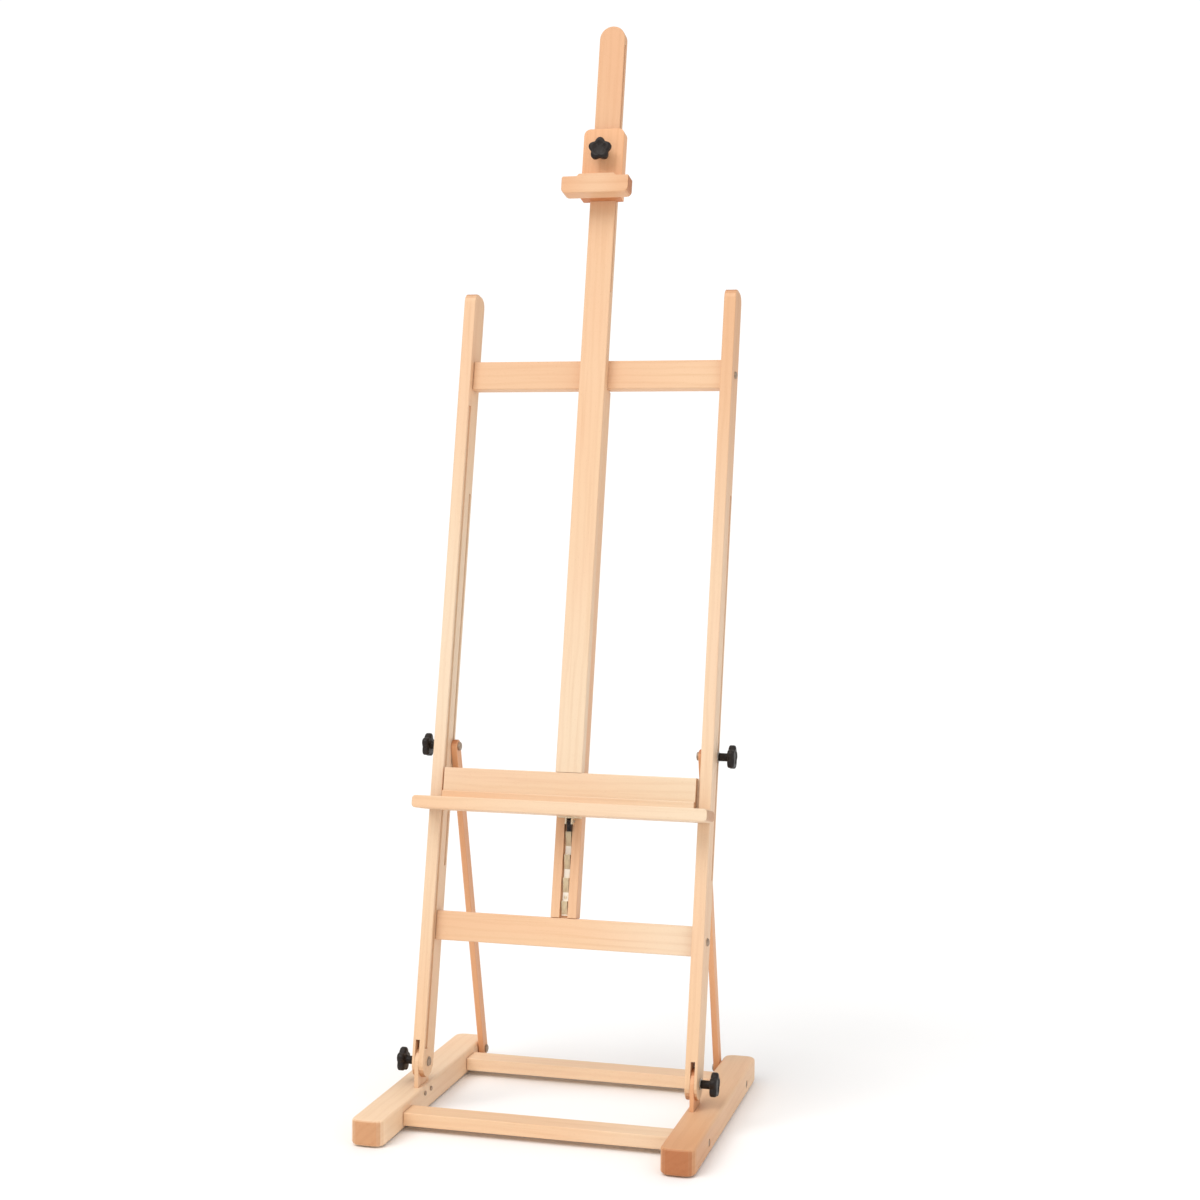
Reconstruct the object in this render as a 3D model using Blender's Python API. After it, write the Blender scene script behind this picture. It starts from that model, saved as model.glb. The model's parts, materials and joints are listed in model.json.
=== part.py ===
"""Wooden studio easel: an H-frame that leans on two feet, held by two folding struts.

Metres, +Z up. The painter stands at -Y and looks along +Y, so +X is the right side.
The leaning frame has its own directions: n is the depth behind the front plane of the
posts, and s is the distance up along the posts from the level of the feet's underside.
"""

import math

import bmesh
import bpy
from mathutils import Vector

GAP = 0.0003

# Feet and the two rails between them
FOOT_SPAN = 0.540
FOOT_WIDTH = 0.054
FOOT_LENGTH = 0.516
FOOT_HEIGHT = 0.040
FOOT_CORNER = 0.016
FOOT_EASE = 0.0045
FOOT_EASE_STEPS = 3
PAD_HEIGHT = 0.0025
PAD_RADIUS = 0.011
PAD_FROM_END = 0.028
RAIL_DEPTH = 0.042
RAIL_HEIGHT = 0.021
RAIL_CLEARANCE = 0.007
FRONT_RAIL_Y = 0.1114
REAR_RAIL_Y = 0.4254

# Leaning frame
LEAN = math.radians(11.3)
PLANE_Y = 0.1658
POST_SPAN = 0.470
POST_WIDTH = 0.020
POST_DEPTH = 0.051
POST_TOP = 1.369
POST_CORNER = 0.016
PIVOT_N = POST_DEPTH / 2
PIVOT_S = 0.084
FORK_WIDTH = 0.0070
FORK_X = 0.227
FORK_TOP = 0.119
GROOVE_N = (0.005, 0.014)
GROOVE_S = (0.105, 1.172)
GROOVE_DEPTH = 0.006
SLOT_N = 0.040
SLOT_WIDTH = 0.008
SLOT_S = (0.400, 1.027)
TOP_BAR_S = (1.202, 1.250)
TOP_BAR_N = (0.014, 0.036)
LOWER_BAR_S = (0.280, 0.327)
LOWER_BAR_N = (0.015, 0.037)
CENTRE_RAIL_WIDTH = 0.043
CENTRE_RAIL_N = (0.014, 0.040)
RACK_SLOT_WIDTH = 0.014
RACK_SLOT_DEPTH = 0.010

# Ratchet
RACK_WIDTH = 0.0095
RACK_S = (0.331, 1.198)
RACK_PITCH = 0.0372
RACK_LEDGE_S = 0.3543
RACK_N = (0.015, 0.0215, 0.0236)
RACK_FLAT = 0.012
PAWL_X = 0.003
PAWL_WIDTH = 0.0072
PAWL_PIVOT = (0.010, 0.4825)
PAWL_REACH = 0.0170
PAWL_EYE = 0.0040
PAWL_PIN_RADIUS = 0.0020
PAWL_TIP_ARC = (-104, -52)
PAWL_EYE_ARC = (40, 180)
PAWL_SHOULDER = (0.0080, -0.0060)
PAWL_SIDE_GAP = 0.0004
BRACKET_HALF = 0.0185
BRACKET_PLATE = 0.0022
BRACKET_EAR_END = -0.0050
BRACKET_N = (0.001, 0.013)

# Tray and mast
TRAY_HALF = 0.2107
TRAY_N = (-0.0065, 0.0135)
TRAY_S = (0.490, 0.560)
TONGUE_N = (0.0055, 0.0135)
TONGUE_CLEARANCE = 0.0008
LEDGE_HALF = 0.243
LEDGE_N = -0.066
LEDGE_S = (0.490, 0.510)
LEDGE_CORNER = 0.006
CLEAT_S = 0.522
CLEAT_DEPTH = 0.007
MAST_WIDTH = 0.044
MAST_TOP = 1.832
MAST_LAP_S = 0.500
MAST_LAP_N = 0.0038
MAST_KEYWAY = (0.640, 1.366)
MAST_KEYWAY_N = 0.0075
MAST_SIDE_GROOVE = (1.364, 1.799)
KEY_WIDTH = 0.012

# Top clamp
CLAMP_WIDTH = 0.070
CLAMP_S = (1.521, 1.643)
CLAMP_FRONT_N = -0.022
CLAMP_CORNER = 0.011
LIP_N = (-0.0032, 0.0007)
LIP_X = 0.0176
CLAMP_BAR_X = (-0.061, 0.054)
CLAMP_BAR_N = -0.052
CLAMP_BAR_S = (1.521, 1.550)
CLAMP_BAR_RISE = 0.004
CLAMP_KNOB_S = 1.599

# Struts
STRUT_TOP_S = 0.598
STRUT_FOOT_Y = 0.4794
STRUT_FOOT_Z = 0.026
STRUT_THICKNESS = 0.010
STRUT_WIDTH = 0.022

# Fasteners and knobs; each head is (height over its seat, radius) pairs
BOLT_RADIUS = 0.0030
PIVOT_RADIUS = 0.0040
STUD_RADIUS = 0.0037
SCREW_RADIUS = 0.0020
RACK_SCREW_RADIUS = 0.0015
BASE_BOLT_HEAD = ((0, 0.0060), (0.0030, 0.0060), (0.0038, 0.0050))
CROSSBAR_BOLT_HEAD = ((0, 0.0065), (0.0012, 0.0062), (0.0026, 0.0048), (0.0034, 0.0022))
PIVOT_BOLT_HEAD = ((0, 0.0080), (0.0010, 0.0078), (0.0026, 0.0060), (0.0034, 0.0030))
STRUT_PIN_HEAD = ((0, 0.0070), (0.0020, 0.0070), (0.0030, 0.0050))
STRUT_NUT_HEAD = ((0, 0.0070), (0.0028, 0.0070), (0.0036, 0.0062))
TONGUE_SCREW_HEAD = ((0, 0.0038), (0.0016, 0.0038), (0.0022, 0.0025))
RACK_SCREW_HEAD = ((0, 0.0028), (0.0006, 0.0028), (0.0010, 0.0018))
PAWL_PIN_HEAD = ((0, 0.0034), (0.0008, 0.0034), (0.0014, 0.0026))
SCREW_POINT = 0.0005
COUNTERBORE_RADIUS = 0.0065
COUNTERBORE_DEPTH = 0.0045
BASE_BOLT_REACH = 0.035
CROSSBAR_BOLT_REACH = 0.045
TONGUE_SCREW_TIP = 0.2375
STRUT_PIN_TIP = 0.2360
RACK_SCREW_LENGTH = 0.0130
RACK_SCREW_SEAT = 0.0014
HOLE_END = 0.001
OVERSHOOT = 0.01
WASHER_RADIUS = 0.0090
WASHER_HEIGHT = 0.0015
KNOB_RADIUS = 0.020
KNOB_LOBES = 5
KNOB_NECK_RADIUS = 0.0067
KNOB_NECK = 0.0155
KNOB_DISC = 0.0115
KNOB_BORE = 0.0160
KNOB_BOLT_END = 0.0006

SIDES = (("left", -1), ("right", 1))
ROUND = 16

FOOT_INNER = FOOT_SPAN / 2 - FOOT_WIDTH
POST_INNER = POST_SPAN / 2 - POST_WIDTH
POST_OUTER = POST_SPAN / 2
STRUT_X = (POST_INNER - GAP - STRUT_THICKNESS, POST_INNER - GAP)
PIVOT_Y = PLANE_Y + PIVOT_S * math.sin(LEAN) + PIVOT_N * math.cos(LEAN)
PIVOT_Z = PIVOT_S * math.cos(LEAN) - PIVOT_N * math.sin(LEAN)

WOOD = ("beech", (0.86, 0.63, 0.42), 0.45, 0.0)
KNOB_PLASTIC = ("knob_plastic", (0.045, 0.035, 0.03), 0.35, 0.0)
RUBBER = ("pad_rubber", (0.03, 0.03, 0.03), 0.8, 0.0)
STEEL = ("zinc_steel", (0.62, 0.62, 0.62), 0.3, 1.0)
BRASS = ("brass_strip", (0.80, 0.66, 0.38), 0.3, 1.0)
BLACK_STEEL = ("black_steel", (0.03, 0.03, 0.03), 0.4, 0.7)


# ---------------------------------------------------------------- outlines

def arc(centre, radius, start, end, steps):
    """Points on an arc from start to end, in degrees."""
    angles = [math.radians(start + (end - start) * i / steps) for i in range(steps + 1)]
    return [(centre[0] + radius * math.cos(a), centre[1] + radius * math.sin(a)) for a in angles]


def circle(radius, sides=ROUND, centre=(0.0, 0.0)):
    return arc(centre, radius, 0, 360 * (sides - 1) / sides, sides - 1)


def rectangle(low, high):
    return [(low[0], low[1]), (high[0], low[1]), (high[0], high[1]), (low[0], high[1])]


def rounded(corners, steps=4):
    """A polygon from (u, v, radius) corners, each rounded by an arc of that radius."""
    points = []
    for i, (u, v, radius) in enumerate(corners):
        here = Vector((u, v))
        before = (Vector(corners[i - 1][:2]) - here).normalized()
        after = (Vector(corners[(i + 1) % len(corners)][:2]) - here).normalized()
        if radius == 0:
            points.append((u, v))
            continue
        half = before.angle(after) / 2
        start = here + before * (radius / math.tan(half))
        middle = here + (before + after).normalized() * (radius / math.sin(half))
        sweep = (start - middle).angle_signed(here + after * (radius / math.tan(half)) - middle)
        for k in range(steps + 1):
            turn = -sweep * k / steps
            arm = start - middle
            points.append((
                middle.x + arm.x * math.cos(turn) - arm.y * math.sin(turn),
                middle.y + arm.x * math.sin(turn) + arm.y * math.cos(turn),
            ))
    return points


def stadium(width, length, steps=8):
    """A slot or link outline along +v, with its round ends centred on (0, 0) and (0, length)."""
    radius = width / 2
    return arc((0, length), radius, 0, 180, steps) + arc((0, 0), radius, 180, 360, steps)


# ---------------------------------------------------------------- meshes and objects

def finish_material(look):
    name, colour, roughness, metallic = look
    found = bpy.data.materials.get(name)
    if found:
        return found
    made = bpy.data.materials.new(name)
    made.use_nodes = True
    shader = made.node_tree.nodes["Principled BSDF"]
    shader.inputs["Base Color"].default_value = (*colour, 1.0)
    shader.inputs["Roughness"].default_value = roughness
    shader.inputs["Metallic"].default_value = metallic
    return made


def add_object(name, mesh_or_bmesh, look, parent, location):
    mesh = mesh_or_bmesh
    if isinstance(mesh_or_bmesh, bmesh.types.BMesh):
        mesh = bpy.data.meshes.new(name)
        bmesh.ops.recalc_face_normals(mesh_or_bmesh, faces=mesh_or_bmesh.faces)
        mesh_or_bmesh.to_mesh(mesh)
        mesh_or_bmesh.free()
    obj = bpy.data.objects.new(name, mesh)
    bpy.context.collection.objects.link(obj)
    obj.parent = parent
    obj.location = location
    if look:
        if not mesh.materials:
            mesh.materials.append(finish_material(look))
    else:
        obj.hide_render = True
        obj.display_type = "WIRE"
    return obj


def add_empty(name, parent=None, location=(0, 0, 0), tilt=0.0):
    empty = bpy.data.objects.new(name, None)
    empty.empty_display_size = 0.03
    bpy.context.collection.objects.link(empty)
    empty.parent = parent
    empty.location = location
    empty.rotation_euler = (tilt, 0, 0)
    return empty


def prism(name, outline, axis, span, look, parent, location=(0, 0, 0)):
    """An outline pushed along X, Y or Z between the two ends of span."""
    def point(u, v, w):
        return {"X": (w, u, v), "Y": (u, w, v), "Z": (u, v, w)}[axis]

    shape = bmesh.new()
    ends = [[shape.verts.new(point(u, v, w)) for u, v in outline] for w in span]
    for ring in ends:
        shape.faces.new(ring)
    count = len(outline)
    for i in range(count):
        k = (i + 1) % count
        shape.faces.new((ends[0][i], ends[0][k], ends[1][k], ends[1][i]))
    return add_object(name, shape, look, parent, location)


def turned(name, profile, axis, sign, look, parent, location, sides=ROUND):
    """A solid of rings along an axis, from (distance, radius) pairs; sign mirrors it."""
    shape = bmesh.new()
    rings = []
    for distance, radius in profile:
        ring = []
        for u, v in circle(radius, sides):
            w = sign * distance
            ring.append(shape.verts.new({"X": (w, u, v), "Y": (u, w, v)}[axis]))
        rings.append(ring)
    shape.faces.new(rings[0])
    shape.faces.new(rings[-1])
    for low, high in zip(rings, rings[1:]):
        for i in range(sides):
            k = (i + 1) % sides
            shape.faces.new((low[i], low[k], high[k], high[i]))
    obj = add_object(name, shape, look, parent, location)
    shade_round(obj)
    return obj


def bolt_profile(tip, seat, radius, head, point=0.0):
    """Rings from a bolt's tip to its head, with the tip drawn in over the length of its point."""
    way = 1 if seat > tip else -1
    rings = [(tip, radius), (seat, radius)]
    if point:
        rings.insert(0, (tip - way * point, radius / 2))
    return rings + [(seat + way * height, wide) for height, wide in head]


def shade_round(obj):
    obj.data.shade_smooth()
    obj.data.set_sharp_from_angle(angle=math.radians(40))


def ease_edges(obj, width=0.0015, segments=2):
    bevel = obj.modifiers.new("eased edges", "BEVEL")
    bevel.width = width
    bevel.segments = segments
    bevel.limit_method = "ANGLE"
    bevel.angle_limit = math.radians(50)
    return obj


def combine(obj, tool, operation="DIFFERENCE"):
    boolean = obj.modifiers.new(tool.name, "BOOLEAN")
    boolean.operation = operation
    boolean.solver = "EXACT"
    boolean.object = tool
    return obj


def bore(obj, name, axis, centre, radius, span, parent):
    """Drill a round hole along an axis; centre is in the other two directions."""
    tool = prism(name + "_drill", circle(radius, centre=centre), axis, span, None, parent)
    return combine(obj, tool)


def recess(obj, name, outline, axis, span, parent, location=(0, 0, 0)):
    tool = prism(name + "_cutter", outline, axis, span, None, parent, location)
    return combine(obj, tool)


def signed(sign, low, high):
    return sorted((sign * low, sign * high))


# ---------------------------------------------------------------- base

def build_feet(base):
    for side, sign in SIDES:
        x0, x1 = signed(sign, FOOT_INNER, FOOT_SPAN / 2)
        corners = [(x, y, FOOT_CORNER) for x, y in rectangle((x0, 0), (x1, FOOT_LENGTH))]
        foot = prism(f"{side}_foot", rounded(corners), "Z", (0, FOOT_HEIGHT), WOOD, base)
        ease_edges(foot, FOOT_EASE, FOOT_EASE_STEPS)
        half = PIVOT_N + GAP
        low, high = TONGUE_BOTTOM - GAP, FOOT_HEIGHT + OVERSHOOT
        slot = rectangle((PIVOT_Y - half, low), (PIVOT_Y + half, high))
        fork = signed(sign, FORK_X - FORK_WIDTH / 2, FORK_X + FORK_WIDTH / 2)
        recess(foot, f"{side}_mortise", slot, "X", fork, base)
        for place, y in RAIL_BOLTS:
            centre = (y, RAIL_Z)
            through = signed(sign, FOOT_INNER - OVERSHOOT, FOOT_SPAN / 2 + OVERSHOOT)
            bore(foot, f"{side}_{place}_foot_bolt", "X", centre, BOLT_RADIUS + GAP, through, base)
            sunk = signed(sign, FOOT_SPAN / 2 - COUNTERBORE_DEPTH, FOOT_SPAN / 2 + OVERSHOOT)
            bore(foot, f"{side}_{place}_counterbore", "X", centre, COUNTERBORE_RADIUS, sunk, base)
        for place, shift in TONGUE_SCREWS:
            centre = (PIVOT_Y + shift, TONGUE_SCREW_Z)
            span = signed(sign, FOOT_INNER - OVERSHOOT, TONGUE_SCREW_TIP + HOLE_END)
            bore(foot, f"{side}_{place}_foot_screw", "X", centre, SCREW_RADIUS + GAP, span, base)
        centre = (STRUT_FOOT_Y, STRUT_FOOT_Z)
        span = signed(sign, FOOT_INNER - OVERSHOOT, STRUT_PIN_TIP + SCREW_POINT)
        bore(foot, f"{side}_strut_pin", "X", centre, PIVOT_RADIUS + GAP, span, base)


def build_pads(root):
    for side, sign in SIDES:
        for place, y in (("front", PAD_FROM_END), ("rear", FOOT_LENGTH - PAD_FROM_END)):
            where = (sign * (FOOT_SPAN - FOOT_WIDTH) / 2, y, 0)
            outline, thick = circle(PAD_RADIUS), (0, PAD_HEIGHT - GAP)
            pad = prism(f"{side}_{place}_pad", outline, "Z", thick, RUBBER, root, where)
            shade_round(pad)


def build_base_rails(base):
    reach = FOOT_INNER - GAP
    for place, y in RAIL_BOLTS:
        low = (y - RAIL_DEPTH / 2, RAIL_CLEARANCE)
        high = (y + RAIL_DEPTH / 2, RAIL_CLEARANCE + RAIL_HEIGHT)
        rail = prism(f"{place}_base_rail", rectangle(low, high), "X", (-reach, reach), WOOD, base)
        ease_edges(rail)
        for side, sign in SIDES:
            centre = (y, RAIL_Z)
            tip = FOOT_INNER - BASE_BOLT_REACH
            end = signed(sign, tip - HOLE_END, FOOT_INNER + OVERSHOOT)
            bore(rail, f"{side}_{place}_rail_bolt", "X", centre, BOLT_RADIUS + GAP, end, base)
            seat = FOOT_SPAN / 2 - COUNTERBORE_DEPTH + GAP
            profile = bolt_profile(tip, seat, BOLT_RADIUS, BASE_BOLT_HEAD)
            name = f"{side}_{place}_base_bolt"
            turned(name, profile, "X", sign, STEEL, base, (0, y, RAIL_Z))


def build_tongues(base):
    """A wooden plate standing in each foot, its round top centred on the frame's pivot."""
    thin = FORK_WIDTH / 2 - GAP
    outline = arc((PIVOT_Y, PIVOT_Z), PIVOT_N, 0, 180, 12)
    outline += [(PIVOT_Y - PIVOT_N, TONGUE_BOTTOM), (PIVOT_Y + PIVOT_N, TONGUE_BOTTOM)]
    for side, sign in SIDES:
        span = signed(sign, FORK_X - thin, FORK_X + thin)
        plate = prism(f"{side}_tongue", outline, "X", span, WOOD, base)
        wide = signed(sign, FORK_X - OVERSHOOT, FORK_X + OVERSHOOT)
        bore(plate, f"{side}_tongue", "X", (PIVOT_Y, PIVOT_Z), PIVOT_RADIUS + GAP, wide, base)
        for place, shift in TONGUE_SCREWS:
            centre = (PIVOT_Y + shift, TONGUE_SCREW_Z)
            bore(plate, f"{side}_{place}_plate", "X", centre, SCREW_RADIUS + GAP, wide, base)
            seat = FOOT_INNER - GAP
            profile = bolt_profile(
                TONGUE_SCREW_TIP, seat, SCREW_RADIUS, TONGUE_SCREW_HEAD, SCREW_POINT
            )
            name = f"{side}_{place}_tongue_screw"
            turned(name, profile, "X", sign, STEEL, base, (0, *centre))


def build_strut_pins(base):
    seat = STRUT_X[0] - GAP
    profile = bolt_profile(STRUT_PIN_TIP, seat, PIVOT_RADIUS, STRUT_PIN_HEAD)
    for side, sign in SIDES:
        where = (0, STRUT_FOOT_Y, STRUT_FOOT_Z)
        turned(f"{side}_strut_pin", profile, "X", sign, STEEL, base, where)


# ---------------------------------------------------------------- leaning frame

def post_outline():
    bottom = arc((PIVOT_N, PIVOT_S), PIVOT_N, 180, 360, 12)
    top = rounded([
        (POST_DEPTH, PIVOT_S, 0), (POST_DEPTH, POST_TOP, POST_CORNER),
        (0, POST_TOP, POST_CORNER), (0, PIVOT_S, 0),
    ])
    return bottom + top[1:-1]


def build_posts(frame):
    for side, sign in SIDES:
        span = signed(sign, POST_INNER, POST_OUTER)
        post = ease_edges(prism(f"{side}_post", post_outline(), "X", span, WOOD, frame))
        wide = signed(sign, POST_INNER - OVERSHOOT, POST_OUTER + OVERSHOOT)
        fork = signed(sign, FORK_X - FORK_WIDTH / 2, FORK_X + FORK_WIDTH / 2)
        low = PIVOT_S - PIVOT_N - OVERSHOOT
        gap = rectangle((-OVERSHOOT, low), (POST_DEPTH + OVERSHOOT, FORK_TOP))
        recess(post, f"{side}_fork", gap, "X", fork, frame)
        groove = rectangle((GROOVE_N[0], GROOVE_S[0]), (GROOVE_N[1], GROOVE_S[1]))
        inner = signed(sign, POST_INNER - OVERSHOOT, POST_INNER + GROOVE_DEPTH)
        recess(post, f"{side}_groove", groove, "X", inner, frame)
        radius = SLOT_WIDTH / 2
        slot = stadium(SLOT_WIDTH, SLOT_S[1] - SLOT_S[0] - SLOT_WIDTH)
        recess(post, f"{side}_slot", slot, "X", wide, frame, (0, SLOT_N, SLOT_S[0] + radius))
        bore(post, f"{side}_pivot", "X", (PIVOT_N, PIVOT_S), PIVOT_RADIUS + GAP, wide, frame)
        for place, bar_n, bar_s in CROSSBARS:
            centre = (sum(bar_n) / 2, sum(bar_s) / 2)
            bore(post, f"{side}_{place}_post", "X", centre, BOLT_RADIUS + GAP, wide, frame)


def build_crossbars(frame):
    reach = POST_INNER - GAP
    for place, bar_n, bar_s in CROSSBARS:
        outline = rectangle((bar_n[0], bar_s[0]), (bar_n[1], bar_s[1]))
        bar = prism(f"{place}_crossbar", outline, "X", (-reach, reach), WOOD, frame)
        ease_edges(bar)
        centre = (sum(bar_n) / 2, sum(bar_s) / 2)
        for side, sign in SIDES:
            tip = POST_INNER - CROSSBAR_BOLT_REACH
            end = signed(sign, tip - HOLE_END, POST_INNER + OVERSHOOT)
            bore(bar, f"{side}_{place}_bar", "X", centre, BOLT_RADIUS + GAP, end, frame)
            profile = bolt_profile(tip, POST_OUTER + GAP, BOLT_RADIUS, CROSSBAR_BOLT_HEAD)
            name = f"{side}_{place}_crossbar_bolt"
            turned(name, profile, "X", sign, STEEL, frame, (0, *centre))


def build_centre_rail(frame):
    half = CENTRE_RAIL_WIDTH / 2
    low = LOWER_BAR_S[1] + GAP
    high = TOP_BAR_S[0] - GAP
    outline = rectangle((-half, low), (half, high))
    rail = ease_edges(prism("centre_rail", outline, "Y", CENTRE_RAIL_N, WOOD, frame))
    half = RACK_SLOT_WIDTH / 2
    slot = rectangle((-half, low - OVERSHOOT), (half, high + OVERSHOOT))
    depth = (CENTRE_RAIL_N[0] - OVERSHOOT, CENTRE_RAIL_N[0] + RACK_SLOT_DEPTH)
    recess(rail, "rack_slot", slot, "Y", depth, frame)
    for place, s in RACK_SCREWS:
        tip = RACK_N[1] + RACK_SCREW_SEAT + RACK_SCREW_LENGTH
        span = (CENTRE_RAIL_N[0], tip + HOLE_END)
        bore(rail, f"{place}_rack_screw", "Y", (0, s), RACK_SCREW_RADIUS + GAP, span, frame)


def rack_outline():
    """Saw teeth: a ledge that faces up, a flat to rest against, and a ramp up to the next."""
    front, deep, back = RACK_N
    points = [(back, RACK_S[1]), (back, RACK_S[0]), (deep, RACK_S[0])]
    ledge = RACK_LEDGE_S
    while ledge < RACK_S[1] - RACK_PITCH / 2:
        points += [(front, ledge), (deep, ledge), (deep, ledge + RACK_FLAT)]
        ledge += RACK_PITCH
    last = ledge - RACK_PITCH + RACK_FLAT
    climb = (RACK_S[1] - last) / (RACK_PITCH - RACK_FLAT)
    points.append((deep - (deep - front) * min(climb, 1.0), RACK_S[1]))
    return points


def build_rack(frame):
    half = RACK_WIDTH / 2
    rack = prism("ratchet_rack", rack_outline(), "X", (-half, half), BRASS, frame)
    seat = RACK_N[1] + RACK_SCREW_SEAT
    for place, s in RACK_SCREWS:
        through = (0, RACK_N[2] + OVERSHOOT)
        bore(rack, f"{place}_rack_hole", "Y", (0, s), RACK_SCREW_RADIUS + GAP, through, frame)
        wide = RACK_SCREW_HEAD[0][1] + GAP
        bore(rack, f"{place}_rack_seat", "Y", (0, s), wide, (0, seat), frame)
        tip = seat + RACK_SCREW_LENGTH - SCREW_POINT
        profile = bolt_profile(
            tip, seat - GAP, RACK_SCREW_RADIUS, RACK_SCREW_HEAD, SCREW_POINT
        )
        turned(f"{place}_rack_screw", profile, "Y", 1, BRASS, frame, (0, 0, s))


def build_mast_key(frame):
    half = KEY_WIDTH / 2
    outline = rectangle((-half, TOP_BAR_S[0] + 0.004), (half, TOP_BAR_S[1] - 0.004))
    span = (MAST_KEYWAY_N + 0.0005, TOP_BAR_N[0] - GAP)
    ease_edges(prism("mast_guide_key", outline, "Y", span, WOOD, frame), 0.0008, 1)


def washer(name, x, sign, parent, location):
    outline = circle(WASHER_RADIUS)
    span = signed(sign, x, x + WASHER_HEIGHT)
    ring = prism(name, outline, "X", span, STEEL, parent, location)
    hole = circle(PIVOT_RADIUS + GAP, centre=(location[1], location[2]))
    through = signed(sign, x - OVERSHOOT, x + OVERSHOOT)
    drill = prism(name + "_drill", hole, "X", through, None, parent)
    combine(ring, drill)
    shade_round(ring)


def build_pivots(frame, knob_mesh):
    washer_x = POST_OUTER + GAP
    knob_x = washer_x + WASHER_HEIGHT + GAP
    tip = knob_x + KNOB_BORE - KNOB_BOLT_END
    profile = bolt_profile(tip, POST_INNER - GAP, PIVOT_RADIUS, PIVOT_BOLT_HEAD)
    where = (0, PIVOT_N, PIVOT_S)
    for side, sign in SIDES:
        turned(f"{side}_pivot_bolt", profile, "X", sign, STEEL, frame, where)
        washer(f"{side}_pivot_washer", washer_x, sign, frame, where)
        turn_x = (sign * knob_x, PIVOT_N, PIVOT_S)
        add_knob(f"{side}_pivot_knob", knob_mesh, frame, turn_x, side_turn(sign))


# ---------------------------------------------------------------- star knobs

def knob_radius(angle, radius, lobing):
    """A round ring when lobing is 0, and a five-lobed star when it is 1."""
    wave = 0.5 + 0.5 * math.cos(KNOB_LOBES * angle)
    return radius * (1 - lobing * 0.235 * (1 - wave ** 0.75))


def make_knob_mesh():
    """Neck and lobed head along +Z from z = 0, with a blind bore for the bolt."""
    top = KNOB_NECK + KNOB_DISC
    bore_radius = PIVOT_RADIUS + GAP
    rings = [
        (KNOB_BORE, bore_radius, 0), (0, bore_radius, 0), (0, KNOB_NECK_RADIUS, 0),
        (KNOB_NECK, KNOB_NECK_RADIUS, 0), (KNOB_NECK, KNOB_RADIUS - 0.0022, 1),
        (KNOB_NECK + 0.0020, KNOB_RADIUS, 1), (top - 0.0030, KNOB_RADIUS, 1),
        (top - 0.0008, KNOB_RADIUS - 0.0020, 1), (top, 0.0100, 0.6),
    ]
    steps = KNOB_LOBES * 6
    shape = bmesh.new()
    loops = []
    for z, radius, lobing in rings:
        loop = []
        for i in range(steps):
            angle = 2 * math.pi * i / steps
            reach = knob_radius(angle, radius, lobing)
            loop.append(shape.verts.new((-reach * math.cos(angle), reach * math.sin(angle), z)))
        loops.append(loop)
    shape.faces.new(loops[0])
    shape.faces.new(loops[-1])
    for low, high in zip(loops, loops[1:]):
        for i in range(steps):
            k = (i + 1) % steps
            shape.faces.new((low[i], low[k], high[k], high[i]))
    bmesh.ops.recalc_face_normals(shape, faces=shape.faces)
    mesh = bpy.data.meshes.new("star_knob")
    shape.to_mesh(mesh)
    shape.free()
    mesh.shade_smooth()
    mesh.set_sharp_from_angle(angle=math.radians(40))
    return mesh


def add_knob(name, mesh, parent, location, rotation):
    """Turn the knob on its own axis first, so that one lobe points up, and then aim it."""
    knob = add_object(name, mesh, KNOB_PLASTIC, parent, location)
    knob.rotation_mode = "ZYX"
    knob.rotation_euler = rotation
    return knob


def side_turn(sign):
    return (0, sign * math.pi / 2, 0 if sign > 0 else math.pi)


# ---------------------------------------------------------------- struts

def build_struts(base, frame, knob_mesh):
    """Each strut hangs on a pin in the foot, and a stud in the post's slot meets its top."""
    top_y = PLANE_Y + STRUT_TOP_S * math.sin(LEAN) + SLOT_N * math.cos(LEAN)
    top_z = STRUT_TOP_S * math.cos(LEAN) - SLOT_N * math.sin(LEAN)
    reach = Vector((top_y - STRUT_FOOT_Y, top_z - STRUT_FOOT_Z))
    tilt = math.atan2(-reach.x, reach.y)
    washer_x = POST_OUTER + GAP
    knob_x = washer_x + WASHER_HEIGHT + GAP
    for side, sign in SIDES:
        foot_end = (0, STRUT_FOOT_Y, STRUT_FOOT_Z)
        hinge = add_empty(f"{side}_strut_hinge", base, foot_end, tilt)
        span = signed(sign, *STRUT_X)
        outline = stadium(STRUT_WIDTH, reach.length)
        strut = ease_edges(prism(f"{side}_strut", outline, "X", span, WOOD, hinge), 0.0012)
        wide = signed(sign, STRUT_X[0] - OVERSHOOT, STRUT_X[1] + OVERSHOOT)
        bore(strut, f"{side}_strut_foot", "X", (0, 0), PIVOT_RADIUS + GAP, wide, hinge)
        bore(strut, f"{side}_strut_top", "X", (0, reach.length), STUD_RADIUS + GAP, wide, hinge)
        tip, seat = STRUT_X[1] - GAP, STRUT_X[0] - GAP
        profile = bolt_profile(tip, seat, STUD_RADIUS, STRUT_NUT_HEAD)
        turned(f"{side}_strut_nut", profile, "X", sign, STEEL, hinge, (0, 0, reach.length))
        slide = add_empty(f"{side}_stud_slide", frame, (0, SLOT_N, STRUT_TOP_S))
        outer = knob_x + KNOB_BORE - KNOB_BOLT_END
        profile = [(POST_INNER + GAP, STUD_RADIUS), (outer, STUD_RADIUS)]
        turned(f"{side}_strut_stud", profile, "X", sign, STEEL, slide, (0, 0, 0))
        washer(f"{side}_strut_washer", washer_x, sign, slide, (0, 0, 0))
        add_knob(f"{side}_strut_knob", knob_mesh, slide, (sign * knob_x, 0, 0), side_turn(sign))


# ---------------------------------------------------------------- tray and mast

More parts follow.
